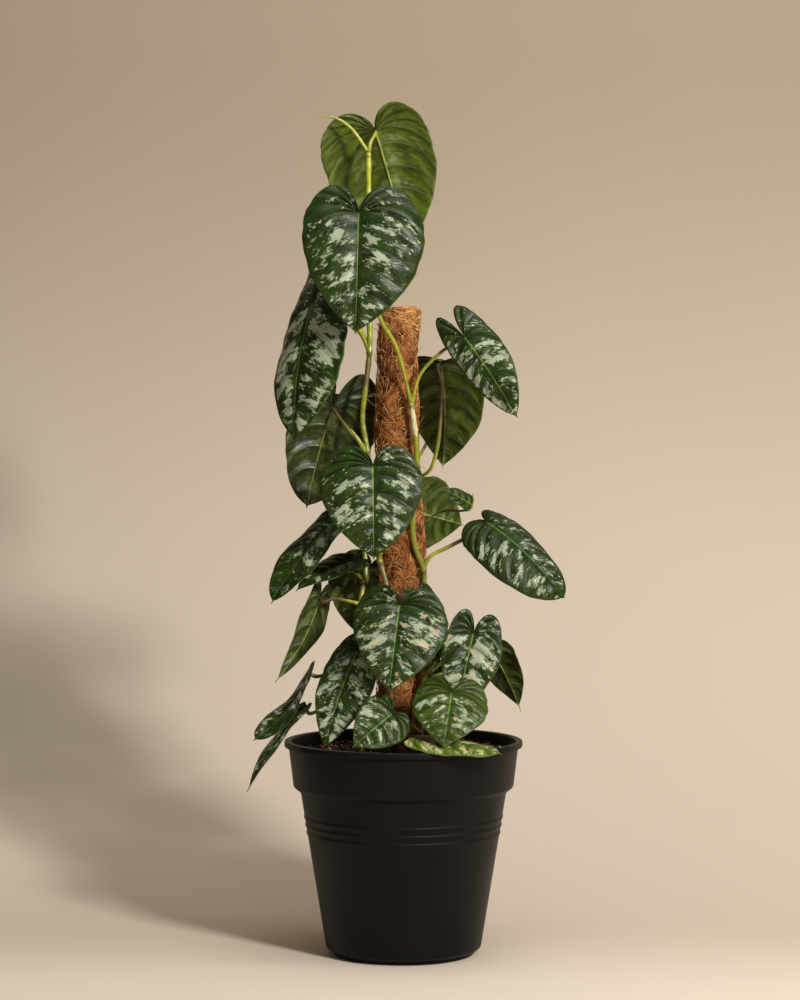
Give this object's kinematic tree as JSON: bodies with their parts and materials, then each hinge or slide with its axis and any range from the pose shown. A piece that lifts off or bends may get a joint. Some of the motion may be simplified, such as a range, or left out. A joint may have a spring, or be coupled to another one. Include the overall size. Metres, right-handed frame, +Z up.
{
  "type": "potted silver leaf philodendron",
  "caption": "Climbing aroid with heart-shaped green leaves splashed with silver, growing up a coir pole in a tapered black nursery pot filled with soil.",
  "frame": {"origin": "middle of the pot's flat underside, on the surface the pot stands on", "axes": "+Z up along the pot's axis, -Y towards the side that most leaves face, +X to a viewer's right"},
  "size_m": [0.3112, 0.2437, 0.8555],
  "materials": {
    "pot": "satin",
    "soil": "matte",
    "coir": "matte",
    "stake": "matte",
    "stem": "satin",
    "leaf": "satin"
  },
  "bodies": {
    "root": {"pot": "pot", "soil": "soil", "coir_pole": "coir", "pole_stake": "stake", "vine_left": "stem", "vine_right": "stem", "vine_back": "stem", "vine_low_left": "stem", "vine_low_right": "stem", "leaf_crown_back": "leaf", "leaf_crown_front": "leaf", "leaf_upper_left": "leaf", "leaf_upper_left_back": "leaf", "leaf_middle_front": "leaf", "leaf_upper_right": "leaf", "leaf_upper_right_back": "leaf", "leaf_arm_right": "leaf", "leaf_small_right": "leaf", "leaf_middle_right_back": "leaf", "leaf_middle_left": "leaf", "leaf_folded_left": "leaf", "leaf_striped_left": "leaf", "leaf_hanging_left": "leaf", "leaf_outer_left_high": "leaf", "leaf_outer_left_low": "leaf", "leaf_low_front": "leaf", "leaf_low_left": "leaf", "leaf_soil_front": "leaf", "leaf_low_right_high": "leaf", "leaf_low_right_front": "leaf", "leaf_low_right_back": "leaf", "leaf_on_rim": "leaf", "leaf_low_shaded": "leaf", "leaf_back_high": "leaf", "leaf_back_left": "leaf", "leaf_back_right": "leaf", "leaf_back_middle": "leaf", "leaf_back_low": "leaf", "leaf_back_soil": "leaf"}
  },
  "joints": []
}
